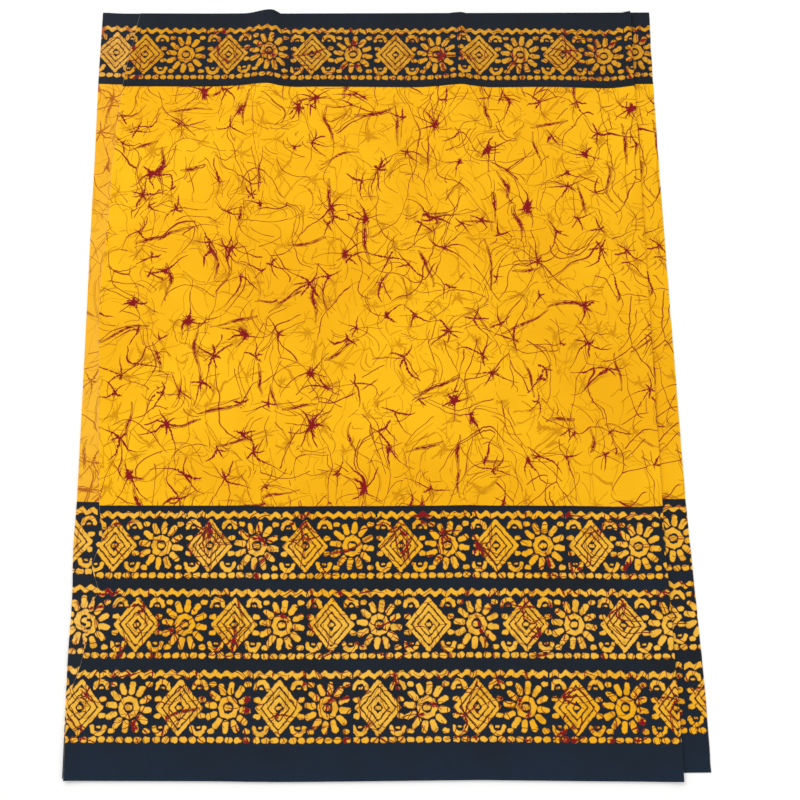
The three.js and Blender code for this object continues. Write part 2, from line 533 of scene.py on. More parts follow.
class TopStretch(Stretch):
    """The stretch that shows whole: flat from its cut end, then down round the fold on the right."""

    end_wobble: float = 1.0

    def section(self, row: float) -> list[SectionPoint]:
        """The top stretch at one row, from its cut end to its join under the right fold.

        Args:
            row: The row's place across the cloth.

        Returns:
            The points in order.
        """
        stack = self.stack
        frayed = self.end_wobble * noise.noise(Vector((row / 22.0, 5.3, 0.0)))
        start = stack.side("free_end", row) + frayed
        fold = stack.side("right_fold", row)
        upper, lower = stack.top_height(fold, row), stack.middle_height(fold, row)
        turn_x = fold - (upper - lower) / 2 - stack.thickness / 2
        points = []
        for index in range(self.columns + 1):
            x = start + (turn_x - start) * index / self.columns
            z = stack.top_height(x, row) if index < self.columns else upper
            points.append(SectionPoint(x, z, x, x - start))
        points += self.half_turn(fold, upper, lower, turn_x)
        under_along = turn_x + math.pi * (upper - lower) / 2
        for back in (0, stack.fold_return / 2, stack.fold_return):
            points.append(SectionPoint(turn_x - back, lower, under_along + back))
        return points


class MiddleStretch(Stretch):
    """The stretch underneath, wrong side up: up round the fold on the left, then flat to its join."""

    def section(self, row: float) -> list[SectionPoint]:
        """The middle stretch at one row, from under the left fold to its join at the right.

        Args:
            row: The row's place across the cloth.

        Returns:
            The points in order.
        """
        stack = self.stack
        left, right = stack.side("left_fold", row), stack.side("right_fold", row)
        upper, lower = stack.middle_height(left, row), stack.lowest_middle
        radius = (upper - lower) / 2
        turn_x = left + radius + stack.thickness / 2
        right_radius = (stack.top_height(right, row) - stack.middle_height(right, row)) / 2
        join = right - right_radius - stack.thickness / 2 - stack.fold_return - stack.join_gap
        upper_along = self.print_start - turn_x
        lower_along = upper_along + math.pi * radius
        points = [
            SectionPoint(turn_x + forward, lower, lower_along + forward)
            for forward in (stack.fold_return, stack.fold_return / 2, 0)
        ]
        points += self.half_turn(left, lower, upper, lower_along, steps=-12)
        for index in range(self.columns + 1):
            x = turn_x + (join - turn_x) * index / self.columns
            z = stack.middle_height(x, row) if index else upper
            points.append(SectionPoint(x, z, self.print_start - x))
        return points


class BottomStretch(Stretch):
    """The stretch that lies on the surface, from its join under the left fold to the last cut end."""

    end_wobble: float = 0.9

    def section(self, row: float) -> list[SectionPoint]:
        """The bottom stretch at one row, flat from its join to its cut end.

        Args:
            row: The row's place across the cloth.

        Returns:
            The points in order.
        """
        stack = self.stack
        left = stack.side("left_fold", row)
        radius = (stack.middle_height(left, row) - stack.lowest_middle) / 2
        start = left + radius + stack.thickness / 2 + stack.fold_return + stack.join_gap
        frayed = self.end_wobble * noise.noise(Vector((row / 26.0, 1.9, 0.0)))
        end = stack.side("last_end", row) + frayed
        points = []
        for index in range(self.columns + 1):
            x = start + (end - start) * index / self.columns
            points.append(SectionPoint(x, stack.lowest_middle, x + self.print_start, end - x))
        return points


# ---------------------------------------------------------------------------------------------
# Shader arithmetic
# ---------------------------------------------------------------------------------------------

Colour = tuple[float, float, float, float]


def srgb(red: int, green: int, blue: int) -> Colour:
    """Turns a colour of 0 to 255 screen levels into the linear light that shaders use.

    Args:
        red: The level of red.
        green: The level of green.
        blue: The level of blue.

    Returns:
        The colour, opaque.
    """
    levels = [level / 255 for level in (red, green, blue)]
    light = [c / 12.92 if c <= 0.04045 else ((c + 0.055) / 1.055) ** 2.4 for c in levels]
    return (light[0], light[1], light[2], 1.0)


class Value:
    """A quantity that changes over the cloth: one output socket, with the operators of arithmetic."""

    def __init__(self, paint: "Paint", socket: bpy.types.NodeSocket) -> None:
        """Wraps a socket of one material's nodes."""
        self.paint = paint
        self.socket = socket

    def __add__(self, other: "Number") -> "Value":
        """This plus other."""
        return self.paint.math("ADD", self, other)

    __radd__ = __add__

    def __sub__(self, other: "Number") -> "Value":
        """This minus other."""
        return self.paint.math("SUBTRACT", self, other)

    def __rsub__(self, other: "Number") -> "Value":
        """Other minus this."""
        return self.paint.math("SUBTRACT", other, self)

    def __mul__(self, other: "Number") -> "Value":
        """This times other."""
        return self.paint.math("MULTIPLY", self, other)

    __rmul__ = __mul__

    def __truediv__(self, other: "Number") -> "Value":
        """This over other."""
        return self.paint.math("DIVIDE", self, other)

    def __gt__(self, other: "Number") -> "Value":
        """1 where this is above other, 0 elsewhere."""
        return self.paint.math("GREATER_THAN", self, other)

    def __lt__(self, other: "Number") -> "Value":
        """1 where this is below other, 0 elsewhere."""
        return self.paint.math("LESS_THAN", self, other)


Number = Union[Value, float, int]
Input = Union[Value, float, int, tuple]
Recipe = Callable[["Paint", Value], Value]


class Paint:
    """Builds the nodes of one material or of one group of nodes."""

    def __init__(self, tree: bpy.types.NodeTree) -> None:
        """Starts on an empty node tree."""
        self.tree = tree

    def node(
        self,
        kind: str,
        settings: dict[str, Any],
        sockets: "Inputs",
        output: Union[str, int] = 0,
    ) -> Value:
        """Adds one node.

        Args:
            kind: The node's type.
            settings: Its settings, which are set first.
            sockets: What goes into its sockets: values, or links from other nodes.
            output: The output to use.

        Returns:
            That output.
        """
        made = self.tree.nodes.new(kind)
        for setting, chosen in settings.items():
            setattr(made, setting, chosen)
        for socket, source in sockets.items():
            if isinstance(source, Value):
                self.tree.links.new(source.socket, made.inputs[socket])
            else:
                made.inputs[socket].default_value = source
        return Value(self, made.outputs[output])

    def end(self, kind: str, last: "Value") -> None:
        """Adds the node that ends the tree, with its first socket linked."""
        self.tree.links.new(last.socket, self.tree.nodes.new(kind).inputs[0])

    def math(self, operation: str, *terms: Number) -> Value:
        """One Math node on one to three terms."""
        return self.node("ShaderNodeMath", {"operation": operation}, dict(enumerate(terms)))

    def clamp(self, value: Value) -> Value:
        """Value held between 0 and 1."""
        return self.node("ShaderNodeClamp", {}, {0: value})

    def vector(self, operation: str, *terms: Input, output: str = "Vector") -> Value:
        """One Vector Math node on one to three vectors."""
        return self.node("ShaderNodeVectorMath", {"operation": operation}, dict(enumerate(terms)), output)

    def mix(self, share: Number, first: Input, second: Input) -> Value:
        """The first colour where share is 0, the second where it is 1."""
        return self.node("ShaderNodeMix", {"data_type": "RGBA"}, {0: share, 6: first, 7: second}, 2)

    def grouped(self, name: str, place: Value, result_of: "Recipe") -> Value:
        """A number worked out from a place by a named group of nodes, made on first use.

        Args:
            name: The group's name.
            place: The place to read.
            result_of: Builds the number, given the group's nodes and the place.

        Returns:
            The number.
        """
        group = bpy.data.node_groups.get(name)
        if group is None:
            group = bpy.data.node_groups.new(name, "ShaderNodeTree")
            group.interface.new_socket("Place", in_out="INPUT", socket_type="NodeSocketVector")
            group.interface.new_socket("Result", in_out="OUTPUT", socket_type="NodeSocketFloat")
            inner = Paint(group)
            inner.end("NodeGroupOutput", result_of(inner, inner.node("NodeGroupInput", {}, {})))
        return self.node("ShaderNodeGroup", {"node_tree": group}, {0: place})

    def point(self, x: Number, y: Number, z: Number = 0.0) -> Value:
        """A vector of three numbers."""
        return self.node("ShaderNodeCombineXYZ", {}, {0: x, 1: y, 2: z})

    def parts(self, vector: Value) -> tuple[Value, Value, Value]:
        """The three numbers in a vector or colour.

        Args:
            vector: The vector.

        Returns:
            Its numbers, in order.
        """
        made = self.node("ShaderNodeSeparateXYZ", {}, {0: vector})
        outputs = made.socket.node.outputs
        return Value(self, outputs[0]), Value(self, outputs[1]), Value(self, outputs[2])

    def ramp(self, value: Value, low: float, high: float) -> Value:
        """0 where value is low, 1 where it is high, and straight between; low may be the larger."""
        slope = 1 / (high - low)
        return self.clamp(self.math("MULTIPLY_ADD", value, slope, -low * slope))

    def noise(self, place: Value, size: float, detail: float = 2.0, seed: float = 0.0) -> Value:
        """Smooth noise around 0.5, with blotches about size across.

        Args:
            place: Where on the cloth, in millimetres.
            size: The blotches' size in millimetres.
            detail: How many finer layers it has.
            seed: Shifts the pattern.

        Returns:
            The noise.
        """
        return self.shifted_noise(place, size, detail, seed, "Fac")

    def shifted_noise(self, place: Value, size: float, detail: float, seed: float, output: str) -> Value:
        """The noise node behind noise and warp, with its own shift for each seed.

        Args:
            place: Where on the cloth, in millimetres.
            size: The blotches' size in millimetres.
            detail: How many finer layers it has.
            seed: Shifts the pattern.
            output: The output to use.

        Returns:
            That output.
        """
        shifted = self.vector("ADD", place, (seed * 131.0, seed * 77.0, 0.0))
        sockets = {"Vector": shifted, "Scale": 1 / size, "Detail": detail, "Roughness": 0.55}
        return self.node("ShaderNodeTexNoise", {"noise_dimensions": "2D"}, sockets, output)

    def warp(self, place: Value, size: float, reach: float, seed: float = 0.0) -> Value:
        """Pushes a place about by up to about reach, in swirls about size across.

        Args:
            place: The place to push.
            size: The swirls' size.
            reach: How far they push.
            seed: Shifts the pattern.

        Returns:
            The pushed place.
        """
        swirl = self.shifted_noise(place, size, 1.0, seed, "Color")
        centred = self.vector("SUBTRACT", swirl, (0.5, 0.5, 0.5))
        return self.vector("MULTIPLY_ADD", centred, (2 * reach, 2 * reach, 0.0), place)


Inputs = dict[Union[str, int], Input]


def new_material(name: str, inputs_of: Callable[[Paint], Inputs]) -> bpy.types.Material:
    """Makes a material.

    Args:
        name: The material's name.
        inputs_of: Builds what goes into the surface shader, given the material's nodes.

    Returns:
        The material.
    """
    material = bpy.data.materials.new(name)
    material.use_nodes = True
    material.node_tree.nodes.clear()
    paint = Paint(material.node_tree)
    surface = paint.node("ShaderNodeBsdfPrincipled", {}, inputs_of(paint))
    paint.end("ShaderNodeOutputMaterial", surface)
    return material


# ---------------------------------------------------------------------------------------------
# The print
# ---------------------------------------------------------------------------------------------


class Zone(Enum):
    """The kinds of ground in the print."""

    FIELD = "field"
    MARGIN = "margin"
    PANEL = "panel"


@dataclass(frozen=True)
class BandRow:
    """One row of panels: where its top is across the cloth, and where a panel starts along it."""

    top: float
    start: float


@dataclass(frozen=True)
class Patch:
    """A kind of ground with its own finish. A panel has several, so that each draws only nearby strokes."""

    zone: Zone
    column: int = 0
    row: int = 0

    @property
    def name(self) -> str:
        """A short name for the patch."""
        is_panel = self.zone is Zone.PANEL
        return f"{self.zone.value}_{self.column}_{self.row}" if is_panel else self.zone.value


class PrintLayout:
    """Where things are printed across the cloth, in millimetres from its middle."""

    panel_length = 136.2
    panel_height = 100.0
    patch_columns = 4
    patch_rows = 3
    patch_overlap = 8.0
    field_top = 462.7
    field_bottom = -223.7
    upper_change = 468.0
    lower_change = -227.0
    bands = (
        BandRow(573.5, -8.6),
        BandRow(-230.5, -0.3),
        BandRow(-341.4, 39.0),
        BandRow(-453.4, -31.3),
    )

    @classmethod
    def patches(cls) -> list[Patch]:
        """Every patch, in the order of the cloth's material slots.

        Returns:
            The patches.
        """
        panels = [
            Patch(Zone.PANEL, column, row)
            for row in range(cls.patch_rows)
            for column in range(cls.patch_columns)
        ]
        return [Patch(Zone.FIELD), Patch(Zone.MARGIN), *panels]

    @classmethod
    def patch_number(cls, along: float, across: float) -> int:
        """Which patch a small face belongs to.

        Args:
            along: The face's middle along the cloth.
            across: The face's middle across the cloth.

        Returns:
            The patch's place in the list of patches.
        """
        if cls.lower_change < across < cls.upper_change:
            return 0
        for band in cls.bands:
            down = band.top - across
            if -cls.patch_overlap < down < cls.panel_height + cls.patch_overlap:
                share = (along - band.start) / cls.panel_length % 1.0
                row = int(cls.patch_rows * min(max(down / cls.panel_height, 0.0), 0.999))
                return 2 + row * cls.patch_columns + int(share * cls.patch_columns)
        return 1


@dataclass(frozen=True)
class Inks:
    """The colours of one side of the cloth."""

    yellow: Colour
    deep_yellow: Colour
    panel_yellow: Colour
    dull: Colour
    ochre: Colour
    red: Colour
    navy: Colour
    black_navy: Colour
    fringe: Colour
    thread: Colour
    crackle_strength: float


RIGHT_INKS = Inks(
    yellow=srgb(245, 185, 17),
    deep_yellow=srgb(236, 169, 6),
    panel_yellow=srgb(239, 185, 70),
    dull=srgb(190, 128, 18),
    ochre=srgb(205, 140, 4),
    red=srgb(130, 16, 22),
    navy=srgb(25, 38, 55),
    black_navy=srgb(25, 29, 33),
    fringe=srgb(88, 46, 12),
    thread=srgb(240, 226, 196),
    crackle_strength=1.0,
)
WRONG_INKS = Inks(
    yellow=srgb(241, 181, 46),
    deep_yellow=srgb(235, 170, 32),
    panel_yellow=srgb(246, 197, 92),
    dull=srgb(206, 150, 60),
    ochre=srgb(214, 152, 26),
    red=srgb(150, 54, 26),
    navy=srgb(29, 39, 56),
    black_navy=srgb(29, 33, 38),
    fringe=srgb(110, 68, 30),
    thread=srgb(244, 232, 206),
    crackle_strength=0.8,
)

# A stroke is (along, down, radius) at one end and the same at the other, in millimetres from the
# panel's upper left corner.
Stroke = tuple[float, float, float, float, float, float]
Spot = tuple[float, float]


@dataclass(frozen=True)
class Oval:
    """An oval's size, in millimetres."""

    half_width: float
    half_height: float

    def around(self, centre: Spot, count: int, first: float = 0.0, turns: float = 1.0) -> list[Spot]:
        """Places at even steps round the oval, which make a lozenge where there are four.

        Args:
            centre: The oval's centre, along and down.
            count: How many steps there are.
            first: The share of a turn at which the first place is.
            turns: The share of a turn that the steps cover.

        Returns:
            The places, one more than the steps.
        """
        angles = [math.tau * (first + turns * step / count) for step in range(count + 1)]
        return [
            (centre[0] + self.half_width * math.cos(angle), centre[1] + self.half_height * math.sin(angle))
            for angle in angles
        ]


@dataclass(frozen=True)
class Mark:
    """Where a small figure stands in the panel, and the share of a turn at which its arc starts."""

    along: float
    down: float
    arc_start: float = 0.0


def pen_line(places: Sequence[Spot], radius: float) -> list[Stroke]:
    """A line through places, a little thicker and thinner as a hand draws it.

    Args:
        places: The places, along and down.
        radius: Half the line's middling thickness.

    Returns:
        One stroke for each step of the line.
    """
    unevenness = 0.14
    radii = [
        radius * (1 + unevenness * math.sin(2.4 * step + places[0][0])) for step in range(len(places))
    ]
    ends = [(*place, thick) for place, thick in zip(places, radii)]
    return [(*start, *end) for start, end in zip(ends, ends[1:])]


@dataclass(frozen=True)
class PanelChart:
    """A generic panel: a zigzag over a lozenge and a rayed ring, with crescents, over a row of dots.

    Each pen is a share of the common one.
    """

    length: float
    pen: float = 3.3
    middle: float = 51.0
    zigzag_teeth: int = 9
    zigzag_crest: float = 4.2
    zigzag_foot: float = 9.4
    zigzag_pen: float = 0.72
    dot_half_length: float = 1.4
    row_dots: int = 11
    row_down: float = 93.4
    row_pen: float = 1.04
    lozenge_at: float = 36.0
    lozenges: tuple[Oval, ...] = (Oval(29.0, 34.5), Oval(19.6, 23.4), Oval(10.4, 12.4))
    lozenge_pen: float = 0.63
    lozenge_dot_pen: float = 0.62
    ring_at: float = 103.0
    ring: Oval = Oval(11.0, 12.0)
    ring_steps: int = 8
    ring_pen: float = 0.85
    ring_dot_pen: float = 0.95
    rays: int = 12
    ray_turn: float = 0.02
    ray_tips: Oval = Oval(28.5, 31.0)
    ray_feet: Oval = Oval(20.0, 21.5)
    ray_pen: float = 1.04
    crescent: Oval = Oval(8.6, 8.8)
    crescent_steps: int = 5
    crescent_pen: float = 0.66
    crescent_dot_pen: float = 0.3
    crescent_marks: tuple[Mark, ...] = (
        Mark(11.4, 25.0, 0.5),
        Mark(63.0, 25.0, 0.5),
        Mark(11.4, 77.0, 0.0),
        Mark(63.0, 77.0, 0.0),
    )
    filling_pen: float = 0.9
    filling_marks: tuple[Mark, ...] = (
        Mark(80.4, 20.0),
        Mark(129.4, 20.0),
        Mark(80.4, 82.0),
        Mark(129.4, 82.0),
        Mark(67.0, 40.0),
        Mark(67.0, 62.0),
        Mark(6.0, 40.0),
        Mark(6.0, 62.0),
    )

    def dot(self, along: float, down: float, pen: float) -> list[Stroke]:
        """A dot that is a little longer than high.

        Args:
            along: Its middle along the panel.
            down: Its middle down the panel.
            pen: Its radius, as a share of the common pen.

        Returns:
            Its one stroke.
        """
        ends = [(along - self.dot_half_length, down), (along + self.dot_half_length, down)]
        return pen_line(ends, pen * self.pen)

    def zigzag(self) -> list[Stroke]:
        """The zigzag along the top, which runs on from panel to panel.

        Returns:
            Its strokes.
        """
        step = self.length / (2 * self.zigzag_teeth)
        places = [
            (step * index, self.zigzag_crest if index % 2 else self.zigzag_foot)
            for index in range(2 * self.zigzag_teeth + 1)
        ]
        return pen_line(places, self.zigzag_pen * self.pen)

    def dot_row(self) -> list[Stroke]:
        """The row of dots along the bottom.

        Returns:
            Its strokes.
        """
        step = self.length / self.row_dots
        rows = [self.dot(step * (index + 0.5), self.row_down, self.row_pen) for index in range(self.row_dots)]
        return [stroke for row in rows for stroke in row]

    def stepped_lozenge(self) -> list[Stroke]:
        """Lozenges, one in the other, round a dot.

        Returns:
            Its strokes.
        """
        centre = (self.lozenge_at, self.middle)
        strokes = self.dot(*centre, self.lozenge_dot_pen)
        for lozenge in self.lozenges:
            strokes += pen_line(lozenge.around(centre, 4), self.lozenge_pen * self.pen)
        return strokes

    def rayed_ring(self) -> list[Stroke]:
        """Short rays round a closed ring and a dot.

        Returns:
            Its strokes.
        """
        centre = (self.ring_at, self.middle)
        strokes = pen_line(self.ring.around(centre, self.ring_steps), self.ring_pen * self.pen)
        strokes += self.dot(*centre, self.ring_dot_pen)
        tips = self.ray_tips.around(centre, self.rays, self.ray_turn)
        feet = self.ray_feet.around(centre, self.rays, self.ray_turn)
        for tip, foot in zip(tips[:-1], feet):
            strokes += pen_line([tip, foot], self.ray_pen * self.pen)
        return strokes

    def crescents(self) -> list[Stroke]:
        """Crescents round dots beside the lozenge, and single dots in the gaps.

        Returns:
            Their strokes.
        """
        strokes: list[Stroke] = []
        for mark in self.crescent_marks:
            spot = (mark.along, mark.down)
            arc = self.crescent.around(spot, self.crescent_steps, mark.arc_start, 0.5)
            strokes += pen_line(arc, self.crescent_pen * self.pen)
            strokes += self.dot(*spot, self.crescent_dot_pen)
        for mark in self.filling_marks:
            strokes += self.dot(mark.along, mark.down, self.filling_pen)
        return strokes

    def strokes(self) -> list[Stroke]:
        """All the panel's strokes.

        Returns:
            The strokes, in the order in which they are joined.
        """
        figures = (self.zigzag(), self.stepped_lozenge(), self.rayed_ring(), self.crescents(), self.dot_row())
        return [stroke for figure in figures for stroke in figure]


@dataclass(frozen=True)
class Panel:
    """The border's repeating panel, drawn from its strokes."""

    join: float = 1.9
    spread: float = 0.8
    wobble: float = 1.3
    wobble_size: float = 8.0

    def stroke_distance(self, paint: Paint, place: Value, stroke: Stroke) -> Value:
        """How far a place is outside one tapering stroke.

        Args:
            paint: The material's nodes.
            place: The place in the panel.
            stroke: The stroke's two ends and radii.

        Returns:
            The distance in millimetres, below 0 inside the stroke.
        """
        x0, y0, radius0, x1, y1, radius1 = stroke
        run_x, run_y = x1 - x0, y1 - y0
        square = run_x**2 + run_y**2
        from_end = paint.vector("SUBTRACT", place, (x0, y0, 0.0))
        direction = (run_x / square, run_y / square, 0.0)
        share = paint.vector("DOT_PRODUCT", from_end, direction, output="Value")
        share = paint.clamp(share)
        nearest = paint.node(
            "ShaderNodeVectorMath", {"operation": "SCALE"}, {0: (run_x, run_y, 0.0), "Scale": share}
        )
        away = paint.vector("DISTANCE", from_end, nearest, output="Value")
        return paint.math("MULTIPLY_ADD", share, radius0 - radius1, away) - radius0

    def distance(self, paint: Paint, place: Value, patch: Patch) -> Value:
        """How far a place on the cloth is outside the panels' yellow figures.

        Args:
            paint: The material's nodes.
            place: The place along and across the cloth.
            patch: The part of the panel that is finished.

        Returns:
            The distance in millimetres, below 0 inside a figure.
        """
        shaky = paint.warp(paint.warp(place, self.wobble_size, self.wobble, 2.0), 2.5, 0.3, 3.0)
        along, across, _ = paint.parts(shaky)
        first = PrintLayout.bands[0]
        top: Number = first.top
        start: Number = first.start
        for before, band in zip(PrintLayout.bands, PrintLayout.bands[1:]):
            change = 0.0 if before is first else band.top + 5.5
            reached = across < change
            top = reached * (band.top - before.top) + top
            start = reached * (band.start - before.start) + start
        down = top - across
        along_panel = paint.math("FLOORED_MODULO", along - start, PrintLayout.panel_length)
        strokes = self.strokes_near(patch)

        def figures(inner: Paint, spot: Value) -> Value:
            """The distance from the strokes nearby."""
            return self.joined(inner, spot, strokes)

        return paint.grouped(patch.name, paint.point(along_panel, down), figures) - self.spread

    def strokes_near(self, patch: Patch) -> list[Stroke]:
        """The strokes that come near a patch of the panel, found from nine points along each.

        Args:
            patch: The part of the panel that is finished.

        Returns:
            The strokes, in the chart's order.
        """
        width = PrintLayout.panel_length / PrintLayout.patch_columns
        height = PrintLayout.panel_height / PrintLayout.patch_rows
        near = []
        for stroke in PanelChart(PrintLayout.panel_length).strokes():
            x0, y0, radius0, x1, y1, radius1 = stroke
            reach = PrintLayout.patch_overlap + max(radius0, radius1)
            for share in (step / 8 for step in range(9)):
                y = y0 + (y1 - y0) * share
                x = x0 + (x1 - x0) * share
                beside = abs(x - (patch.column + 0.5) * width) - width / 2
                above = abs(y - (patch.row + 0.5) * height) - height / 2
                if max(beside, above) < reach:
                    near.append(stroke)
                    break
        return near

    def joined(self, paint: Paint, place: Value, strokes: Sequence[Stroke]) -> Value:
        """How far a place in the panel is outside several strokes, softly joined where they touch.

        Args:
            paint: The material's nodes.
            place: The place in the panel.
            strokes: The strokes.

        Returns:
            The distance in millimetres.
        """
        nearest = self.stroke_distance(paint, place, strokes[0])
        for stroke in strokes[1:]:
            away = self.stroke_distance(paint, place, stroke)
            nearest = paint.math("SMOOTH_MIN", nearest, away, self.join)
        return nearest


@dataclass(frozen=True)
class Threads:
    """A net of thin crackle lines that comes and goes."""

    cell: float
    half_width: float
    keep: float
    stretch: float
    seed: float

    def mask(self, paint: Paint, place: Value) -> Value:
        """Where the lines are: 1 on a line, 0 off it.

        Args:
            paint: The material's nodes.
            place: The place along and across the cloth.

        Returns:
            The mask.
        """
        bent = paint.warp(place, 1.1 * self.cell, 0.22 * self.cell, self.seed)
        drawn = paint.vector("MULTIPLY", bent, (1.0, self.stretch, 0.0))
        moved = paint.vector("ADD", drawn, (self.seed * 57.0, self.seed * 91.0, 0.0))
        settings = {"voronoi_dimensions": "2D", "feature": "DISTANCE_TO_EDGE"}
        sockets = {"Vector": moved, "Scale": 1 / self.cell}
        edge = paint.node("ShaderNodeTexVoronoi", settings, sockets, "Distance")
        line = paint.ramp(edge * self.cell, self.half_width + 0.3, self.half_width - 0.15)
        where = paint.noise(place, 0.8 * self.cell, 1.0, self.seed + 2)
        return line * paint.ramp(where, self.keep + 0.02, self.keep - 0.02)


@dataclass(frozen=True)
class Scatter:
    """Marks that are strewn one to a cell, each read in polar form from its own centre."""

    cell: float
    half_width: float
    seed: float

    def nearest(self, paint: Paint, place: Value) -> tuple[Value, Value, Value]:
        """The mark that a place belongs to.

        Args:
            paint: The material's nodes.
            place: The place along and across the cloth.

        Returns:
            The mark's centre, the step from it to the place, and the length of that step.
        """
        moved = paint.vector("ADD", place, (self.seed * 43.0, self.seed * 69.0, 0.0))
        settings = {"voronoi_dimensions": "2D", "feature": "F1"}
        sockets = {"Vector": moved, "Scale": 1 / self.cell}
        centre = paint.node("ShaderNodeTexVoronoi", settings, sockets, "Position")
        step = paint.vector("SUBTRACT", moved, centre)
        return centre, step, paint.vector("LENGTH", step, output="Value")

    def draws(self, paint: Paint, key: Value) -> tuple[Value, Value, Value]:
        """Three random numbers from 0 to 1 that belong to a key."""
        made = paint.node("ShaderNodeTexWhiteNoise", {"noise_dimensions": "3D"}, {"Vector": key}, "Color")
        return paint.parts(made)


@dataclass(frozen=True)
class Arcs(Scatter):
    """Long thin crackle lines that bend gently, five to a cell and mostly upright."""

    upright: float = 0.8
    extent: float = 0.26

    def mask(self, paint: Paint, place: Value) -> Value:
        """Where the arcs are: 1 on a line, 0 off it.

        Args:
            paint: The material's nodes.
            place: The place along and across the cloth.

        Returns:
            The mask.
        """
        drawn = paint.vector("MULTIPLY", place, (1.0, self.upright, 0.0))
        centre, step, away = self.nearest(paint, drawn)
        beside_centre = paint.vector("ADD", centre, (17.0, 5.0, 0.0))
        draws = [*self.draws(paint, centre), *self.draws(paint, beside_centre)]
        x, y, _ = paint.parts(step)
        turns = paint.math("ARCTAN2", y, x) / (2 * math.pi)
        result: Number = 0.0
        for number, (radius, start) in enumerate(zip(draws, draws[1:])):
            off_line = paint.math("ABSOLUTE", away - (0.16 + 0.4 * radius) * self.cell)
            line = paint.ramp(off_line, self.half_width + 0.3, self.half_width - 0.15)
            part = paint.math("FLOORED_MODULO", turns + start * 7.0, 1.0)
            end = self.extent * (1.3 - 0.15 * number)
            result = paint.math("MAXIMUM", line * paint.ramp(part, end, end - 0.01), result)
        return result


@dataclass(frozen=True)
class Bars(Scatter):
    """Broad feathered cracks, most of them upright and the rest nearly level."""

    length: float = 46.0
    share: float = 0.75
    strand_gap: float = 2.3
    directions: tuple[tuple[float, float, float], ...] = (
        (0.996, 0.09, 0.0),
        (-0.26, 0.966, 0.0),
        (-0.09, 0.996, 0.0),
        (0.966, 0.26, 0.0),
    )

    def mask(self, paint: Paint, place: Value) -> Value:
        """Where the bars are: 1 on a bar, 0 off it.

        Args:
            paint: The material's nodes.
            place: The place along and across the cloth.

        Returns:
            The mask.
        """
        centre, step, _ = self.nearest(paint, place)
        size, chance, kind = self.draws(paint, centre)
        is_level = kind > 0.6
        readings = [
            paint.vector("DOT_PRODUCT", step, direction, output="Value")
            for direction in self.directions
        ]
        beside = paint.math("ABSOLUTE", readings[0] + is_level * (readings[1] - readings[0]))
        along = paint.math("ABSOLUTE", readings[2] + is_level * (readings[3] - readings[2]))
        share_along = along / (self.length * (0.45 + 0.55 * size))
        ragged = paint.noise(place, 4.6, 3.0, self.seed + 2)
        half = self.half_width * paint.ramp(share_along, 0.7, 0.1) * paint.ramp(ragged, 0.2, 0.7)
        thick = paint.ramp(beside - half, 0.25, -0.2) * (share_along < 0.68)
        off_strand = paint.math("ABSOLUTE", beside - self.strand_gap * (1.2 - share_along))
        strands = paint.ramp(off_strand, 0.65, 0.2) * (share_along < 1.0)
        return paint.math("MAXIMUM", thick, strands) * (chance < self.share)


@dataclass(frozen=True)
class Bursts(Scatter):
    """Crackle that breaks out from scattered knots as curved, tapering rays."""

    rays: int = 6
    reach: float = 60.0
    knot: float = 5.0
    thick_share: float = 0.2

    def mask(self, paint: Paint, place: Value) -> Value:
        """Where the rays and the knots are: 1 on them, 0 off them.

        Args:
            paint: The material's nodes.
            place: The place along and across the cloth.

        Returns:
            The mask.
        """
        centre, step, away = self.nearest(paint, place)
        turn_chance, knot_chance, size_chance = self.draws(paint, centre)
        x, y, _ = paint.parts(step)
        turns = paint.math("ARCTAN2", y, x) / (2 * math.pi)
        sector_place = (turns + turn_chance) * self.rays
        sector = paint.math("FLOOR", sector_place)
        ray = paint.math("FLOORED_MODULO", sector, self.rays)
        key = paint.point(ray + self.seed, knot_chance * 97.0, size_chance * 61.0)
        aim, bend, length = self.draws(paint, key)
        angle = (sector_place - sector - 0.5 + (aim - 0.5) * 0.5) * (2 * math.pi / self.rays)
        curve = angle + (bend - 0.5) * 0.03 * away
        beside = paint.math("ABSOLUTE", curve * away)
        thick = paint.ramp(aim * bend, self.thick_share, 0.7 * self.thick_share)
        feather = paint.noise(place, 2.6, 2.0, self.seed + 4)
        half = self.half_width + paint.ramp(away, 30.0, 4.0) * thick * paint.ramp(feather, 0.35, 0.6) * 1.9
        ray_end = self.reach * (0.12 + 0.88 * length * length)
        rays = paint.ramp(beside - half, 0.3, -0.15) * paint.ramp(away - ray_end, 2.0, -3.0)
        knot_size = self.knot * paint.ramp(knot_chance, 0.4, 0.9)
        flattened = paint.vector("LENGTH", paint.vector("MULTIPLY", step, (1.35, 0.8, 0.0)), output="Value")
        knots = paint.ramp(flattened + (feather - 0.5) * 20.0 - knot_size, 0.5, -0.5)
        return paint.math("MAXIMUM", rays, knots)


CrackleLayer = Union[Threads, Arcs, Bars, Bursts]


